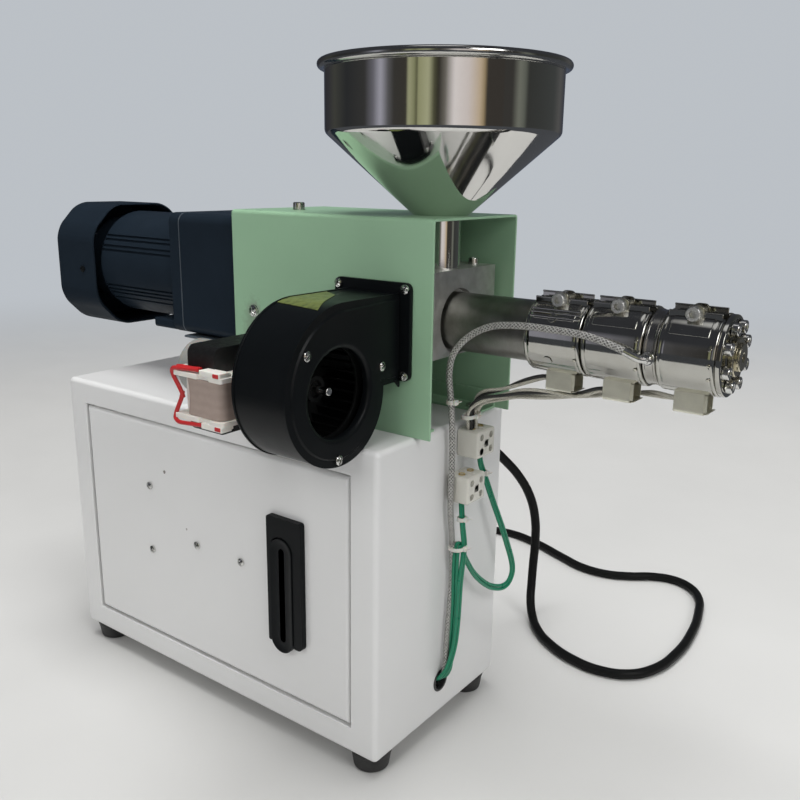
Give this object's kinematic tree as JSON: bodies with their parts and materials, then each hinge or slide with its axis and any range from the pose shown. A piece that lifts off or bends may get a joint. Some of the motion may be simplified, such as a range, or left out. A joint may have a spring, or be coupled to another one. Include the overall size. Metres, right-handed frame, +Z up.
{
  "type": "pelletizing extruder",
  "caption": "Bench-top pelletizing extruder: white cabinet, gearmotor, covered drive, feed hopper, heated barrel with a strand die and a cooling blower.",
  "frame": {"origin": "centre of the four feet on the surface that they stand on, which is the centre of the foot-screw pattern", "axes": "+X along the barrel towards the die, +Y from the door to the rear, +Z up"},
  "size_m": [0.531, 0.4593, 0.4356],
  "materials": {
    "white_enamel": "gloss powder coat",
    "black_rubber": "matt",
    "bright_steel": "polished zinc",
    "black_zinc": "satin black",
    "sage_enamel": "satin powder coat, sage green",
    "motor_enamel": "satin blue-black",
    "raw_steel": "milled, dull",
    "mirror_steel": "mirror polished stainless",
    "barrel_steel": "dull, heat darkened",
    "band_chrome": "mirror chrome band",
    "box_steel": "bright folded sheet",
    "braid": "braided wire sheath",
    "white_sleeve": "woven glass sleeve",
    "porcelain": "glazed off-white",
    "green_wire": "smooth insulation",
    "black_blower": "semi-matt black",
    "black_plastic": "moulded black",
    "fan_grey": "moulded light grey",
    "lamination": "varnished laminations",
    "bobbin_white": "moulded nylon",
    "tape": "wound beige tape",
    "black_cord": "satin sheath"
  },
  "bodies": {
    "root": {"cabinet_shell": "white_enamel", "door_frame": "white_enamel", "back_panel": "white_enamel", "feet": "black_rubber", "drive_cover": "sage_enamel", "cover_angles": "sage_enamel", "cover_screws": "bright_steel", "gearbox": "motor_enamel", "motor_flange": "motor_enamel", "motor_body": "motor_enamel", "fan_cover": "motor_enamel", "drive_housing": "raw_steel", "feed_block": "raw_steel", "hopper": "mirror_steel", "hopper_neck": "mirror_steel", "barrel": "barrel_steel", "feed_screw": "bright_steel", "heater_band_1": "band_chrome", "heater_band_2": "band_chrome", "heater_band_3": "band_chrome", "clamp_screws": "bright_steel", "heater_boxes": "box_steel", "die_flange": "band_chrome", "die_nose": "box_steel", "die_screws": "bright_steel", "thermocouple": "bright_steel", "thermocouple_lead": "braid", "heater_leads": "white_sleeve", "terminal_blocks": "porcelain", "green_wires": "green_wire", "lead_grommet": "black_plastic", "blower_scroll": "black_blower", "blower_cover": "black_blower", "blower_screws": "bright_steel", "blower_stack": "lamination", "bobbin": "bobbin_white", "coil_winding": "tape", "cord_gland": "black_plastic", "mains_cord": "black_cord", "cord_coil": "black_cord", "mains_plug": "black_plastic"},
    "door": {"door": "white_enamel", "door_screws": "bright_steel", "handle_base": "black_zinc"},
    "lever": {"handle_lever": "black_zinc"},
    "rotor": {"impeller": "black_blower", "cooling_fan": "fan_grey"}
  },
  "joints": [
    {"name": "door_hinge", "type": "hinge", "parent": "root", "child": "door", "pos_m": [-0.124, -0.067, 0.12], "axis": [0, 0, -1], "range_deg": [0, 105]},
    {"name": "lever_lift", "type": "hinge", "parent": "door", "child": "lever", "pos_m": [0.0783, -0.075, 0.1445], "axis": [-1, 0, 0], "range_deg": [0, 45]},
    {"name": "rotor_spin", "type": "hinge", "parent": "root", "child": "rotor", "pos_m": [0.118, -0.091, 0.255], "axis": [1, 0, 0], "continuous": true}
  ]
}
